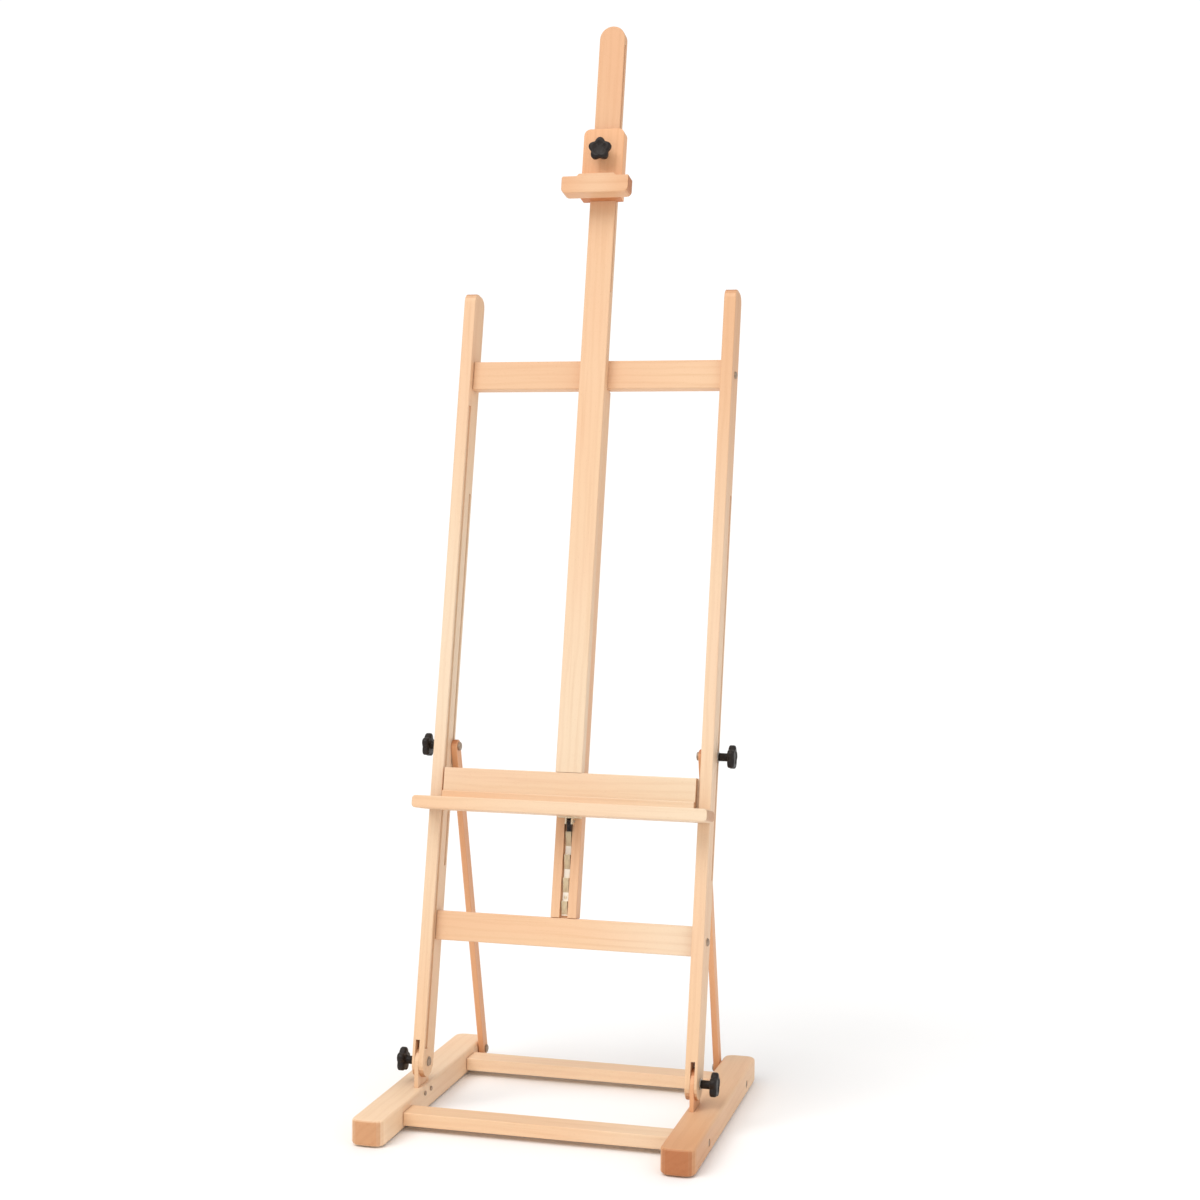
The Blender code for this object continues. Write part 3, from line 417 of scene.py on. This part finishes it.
# (height, radius, how far the ring follows the lobes)
KNOB_RINGS = (
    (0.0140, 0.0043, 0.0), (0.0010, 0.0043, 0.0), (0.0, 0.0050, 0.0),
    (0.0, 0.0060, 0.0), (0.0006, 0.0067, 0.0), (0.0120, 0.0066, 0.0),
    (0.0148, 0.0072, 0.05), (KNOB_NECK, 0.0090, 0.3), (KNOB_NECK, 0.0165, 1.0),
    (KNOB_NECK + 0.0005, 0.0184, 1.0), (KNOB_NECK + 0.0020, 0.01985, 1.0),
    (KNOB_NECK + 0.0045, KNOB_RADIUS, 1.0), (KNOB_TOP - 0.0035, KNOB_RADIUS, 1.0),
    (KNOB_TOP - 0.0018, 0.01945, 1.0), (KNOB_TOP - 0.0006, 0.0180, 1.0),
    (KNOB_TOP, 0.0150, 1.0), (KNOB_TOP - 0.0002, 0.0112, 0.35),
    (KNOB_TOP - 0.0012, 0.0098, 0.0), (KNOB_TOP - 0.0014, 0.0040, 0.0),
)


def lobed(angle, radius, lobing):
    """A ring's radius at an angle, drawn in between the lobes."""
    wave = 0.5 + 0.5 * math.cos(KNOB_LOBES * angle)
    return radius * (1 - lobing * LOBE_DEPTH * (1 - wave ** LOBE_SHARPNESS))


def knob_mesh():
    """A closed star knob standing on its neck, with a socket below and a dished top."""
    shape = bmesh.new()
    loops = []
    for height, radius, lobing in KNOB_RINGS:
        loop = []
        for i in range(KNOB_STEPS):
            angle = 2 * math.pi * i / KNOB_STEPS
            reach = lobed(angle, radius, lobing)
            loop.append(shape.verts.new((-reach * math.cos(angle), reach * math.sin(angle), height)))
        loops.append(loop)
    shape.faces.new(loops[0])
    shape.faces.new(loops[-1])
    for low, high in zip(loops, loops[1:]):
        for i in range(KNOB_STEPS):
            k = (i + 1) % KNOB_STEPS
            shape.faces.new((low[i], low[k], high[k], high[i]))
    bmesh.ops.recalc_face_normals(shape, faces=shape.faces)
    mesh = bpy.data.meshes.new("moulded_star_knob")
    shape.to_mesh(mesh)
    shape.free()
    mesh.shade_smooth()
    mesh.set_sharp_from_angle(angle=KNOB_CREASE)
    mesh.materials.append(PLASTIC)
    return mesh


def add_knob(node, body, mesh, origin, up, out):
    """A knob on its bolt: one lobe points along up, and its head faces along out."""
    knob = bpy.data.objects.new(f"{node}_moulding", mesh)
    bpy.context.scene.collection.objects.link(knob)
    across = up.cross(out)
    turn = Matrix((-up, -across, out)).transposed()
    knob.matrix_world = Matrix.Translation(origin) @ turn.to_4x4()
    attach(knob, body)
    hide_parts(node)


STAR = knob_mesh()
for side, sign in SIDES:
    out = ALONG_X * sign
    pivot = leaning(sign * KNOB_BASE_X, PIVOT_N, PIVOT_S)
    stud = leaning(sign * KNOB_BASE_X, STUD_N, STUD_S)
    add_knob(f"{side}_pivot_knob", f"{side}_pivot_turn", STAR, pivot, ALONG_S, out)
    add_knob(f"{side}_strut_knob", f"{side}_strut_turn", STAR, stud, ALONG_S, out)
clamp = leaning(0, CLAMP_FACE_N, CLAMP_KNOB_S)
add_knob("clamp_knob", "clamp_turn", STAR, clamp, ALONG_S, -ALONG_N)


# ---------------------------------------------------------------- floor, light and camera

FLOOR_HALF = 60.0
CAMERA_PLACE = Vector((0.8446, -3.0541, 0.9935))
CAMERA_AZIMUTH = math.radians(14.578)
CAMERA_DOWN = math.radians(2.912)
CAMERA_ROLL = math.radians(0.485)
CAMERA_LENS = 59.18
AMBIENT = 0.55
BACKDROP = 1.05
# Name, where it stands, angular size in degrees, power and colour
LIGHTS = (
    ("key", (-2.0, -3.4, 4.6), 40.0, 1.62, (1.0, 0.985, 0.965)),
    ("fill", (3.4, -2.4, 2.6), 60.0, 0.50, (0.975, 0.985, 1.0)),
    ("top", (0.4, 2.2, 4.4), 70.0, 0.40, (1.0, 1.0, 1.0)),
)


def add_floor():
    """A wide plain floor, which belongs to the stage."""
    shape = bmesh.new()
    corners = ((-1, -1), (1, -1), (1, 1), (-1, 1))
    shape.faces.new([shape.verts.new((x * FLOOR_HALF, y * FLOOR_HALF, 0)) for x, y in corners])
    mesh = bpy.data.meshes.new("studio_floor")
    shape.to_mesh(mesh)
    shape.free()
    paint = Shader("floor_paint")
    mottle = paint.noise(paint.object_space, (6.0, 6.0, 6.0), 2.0)
    colour = paint.mix(mottle, rgb(0.95, 0.95, 0.95), rgb(0.97, 0.97, 0.97))
    mesh.materials.append(paint.finish(colour, 0.9, paint.bump(mottle, 0.02, 0.001)))
    floor = bpy.data.objects.new("studio_floor", mesh)
    bpy.context.scene.collection.objects.link(floor)


def add_soft_light(name, place, spread, power, colour):
    """A far broad source, so that its light is even from the floor to the mast's top."""
    lamp = bpy.data.lights.new(name, "SUN")
    lamp.angle = math.radians(spread)
    lamp.energy = power
    lamp.color = colour
    holder = bpy.data.objects.new(name, lamp)
    bpy.context.scene.collection.objects.link(holder)
    holder.location = place
    holder.rotation_euler = (-Vector(place)).to_track_quat("-Z", "Y").to_euler()


def add_light():
    """Even light from all round, a white backdrop for the camera only, and three soft lamps."""
    world = bpy.data.worlds.new("studio")
    bpy.context.scene.world = world
    world.use_nodes = True
    tree = world.node_tree
    ambient = tree.nodes["Background"]
    ambient.inputs["Color"].default_value = rgb(1.0, 1.0, 1.0)
    ambient.inputs["Strength"].default_value = AMBIENT
    backdrop = tree.nodes.new("ShaderNodeBackground")
    backdrop.inputs["Color"].default_value = rgb(1.0, 1.0, 1.0)
    backdrop.inputs["Strength"].default_value = BACKDROP
    ray = tree.nodes.new("ShaderNodeLightPath")
    either = tree.nodes.new("ShaderNodeMixShader")
    tree.links.new(ray.outputs["Is Camera Ray"], either.inputs[0])
    tree.links.new(ambient.outputs[0], either.inputs[1])
    tree.links.new(backdrop.outputs[0], either.inputs[2])
    tree.links.new(either.outputs[0], tree.nodes["World Output"].inputs["Surface"])
    for light in LIGHTS:
        add_soft_light(*light)


def add_camera():
    """A camera in front and to the right, looking slightly down."""
    view = bpy.data.cameras.new("studio_camera")
    view.lens = CAMERA_LENS
    camera = bpy.data.objects.new("studio_camera", view)
    bpy.context.scene.collection.objects.link(camera)
    a, e, roll = CAMERA_AZIMUTH, CAMERA_DOWN, CAMERA_ROLL
    right = Vector((math.cos(a), math.sin(a), 0))
    ahead = Vector((-math.sin(a) * math.cos(e), math.cos(a) * math.cos(e), -math.sin(e)))
    up = right.cross(ahead)
    rolled_right = right * math.cos(roll) + up * math.sin(roll)
    rolled_up = up * math.cos(roll) - right * math.sin(roll)
    turn = Matrix((rolled_right, rolled_up, -ahead)).transposed()
    camera.matrix_world = Matrix.Translation(CAMERA_PLACE) @ turn.to_4x4()
    bpy.context.scene.camera = camera
    bpy.context.scene.view_settings.view_transform = "Standard"


add_floor()
add_light()
add_camera()
